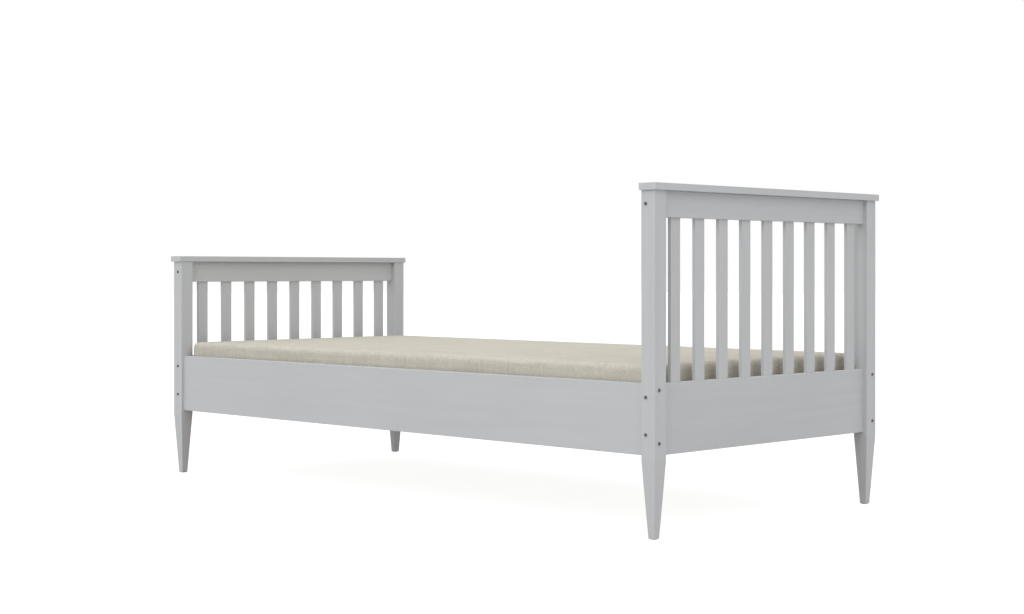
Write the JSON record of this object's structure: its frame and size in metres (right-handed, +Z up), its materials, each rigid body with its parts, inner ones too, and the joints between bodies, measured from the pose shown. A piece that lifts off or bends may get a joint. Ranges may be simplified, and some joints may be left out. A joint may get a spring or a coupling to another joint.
{
  "type": "wooden bed",
  "caption": "Wooden single bed with a tall slatted head end, a lower slatted foot end, deep side rails, tapered legs and a fabric-covered mattress on a slatted base.",
  "frame": {"origin": "on the floor, under the middle of the bed", "axes": "+X towards the tall head end, +Y towards the left side seen from the foot, +Z up"},
  "size_m": [2.094, 0.989, 0.884],
  "materials": {
    "painted_wood": "satin light grey paint",
    "bare_wood": "planed, bare",
    "bolt_steel": "dark oxide",
    "zinc_steel": "zinc plated",
    "glide_plastic": "moulded",
    "mattress_cover_fabric": "woven, linen-like",
    "mattress_foam": "open-cell foam"
  },
  "bodies": {
    "frame": {"base_slat_01": "bare_wood", "base_slat_02": "bare_wood", "base_slat_03": "bare_wood", "base_slat_04": "bare_wood", "base_slat_05": "bare_wood", "base_slat_06": "bare_wood", "base_slat_07": "bare_wood", "base_slat_08": "bare_wood", "base_slat_09": "bare_wood", "base_slat_10": "bare_wood", "base_slat_11": "bare_wood", "base_slat_12": "bare_wood", "base_slat_13": "bare_wood", "base_slat_14": "bare_wood", "base_slat_15": "bare_wood", "base_slat_screws": "zinc_steel", "cap_dowels": "bare_wood", "end_frame_barrel_nuts": "zinc_steel", "end_frame_bolts": "bolt_steel", "end_frame_dowels": "bare_wood", "foot_bottom_rail": "painted_wood", "foot_cap": "painted_wood", "foot_post_left": "painted_wood", "foot_post_right": "painted_wood", "foot_slat_1": "painted_wood", "foot_slat_2": "painted_wood", "foot_slat_3": "painted_wood", "foot_slat_4": "painted_wood", "foot_slat_5": "painted_wood", "foot_slat_6": "painted_wood", "foot_slat_7": "painted_wood", "foot_slat_8": "painted_wood", "foot_slat_9": "painted_wood", "foot_top_rail": "painted_wood", "head_bottom_rail": "painted_wood", "head_cap": "painted_wood", "head_post_left": "painted_wood", "head_post_right": "painted_wood", "head_slat_1": "painted_wood", "head_slat_2": "painted_wood", "head_slat_3": "painted_wood", "head_slat_4": "painted_wood", "head_slat_5": "painted_wood", "head_slat_6": "painted_wood", "head_slat_7": "painted_wood", "head_slat_8": "painted_wood", "head_slat_9": "painted_wood", "head_top_rail": "painted_wood", "ledger_screws": "zinc_steel", "leg_glides": "glide_plastic", "side_rail_barrel_nuts": "zinc_steel", "side_rail_bolts": "bolt_steel", "side_rail_dowels": "bare_wood", "side_rail_left": "painted_wood", "side_rail_right": "painted_wood", "slat_ledger_left": "bare_wood", "slat_ledger_right": "bare_wood"},
    "mattress": {"mattress_cover": "mattress_cover_fabric", "mattress_core": "mattress_foam"}
  },
  "joints": [
    {"name": "mattress_lift", "type": "slide", "parent": "frame", "child": "mattress", "axis": [0, 0, 1], "range_m": [0, 0.62]}
  ]
}
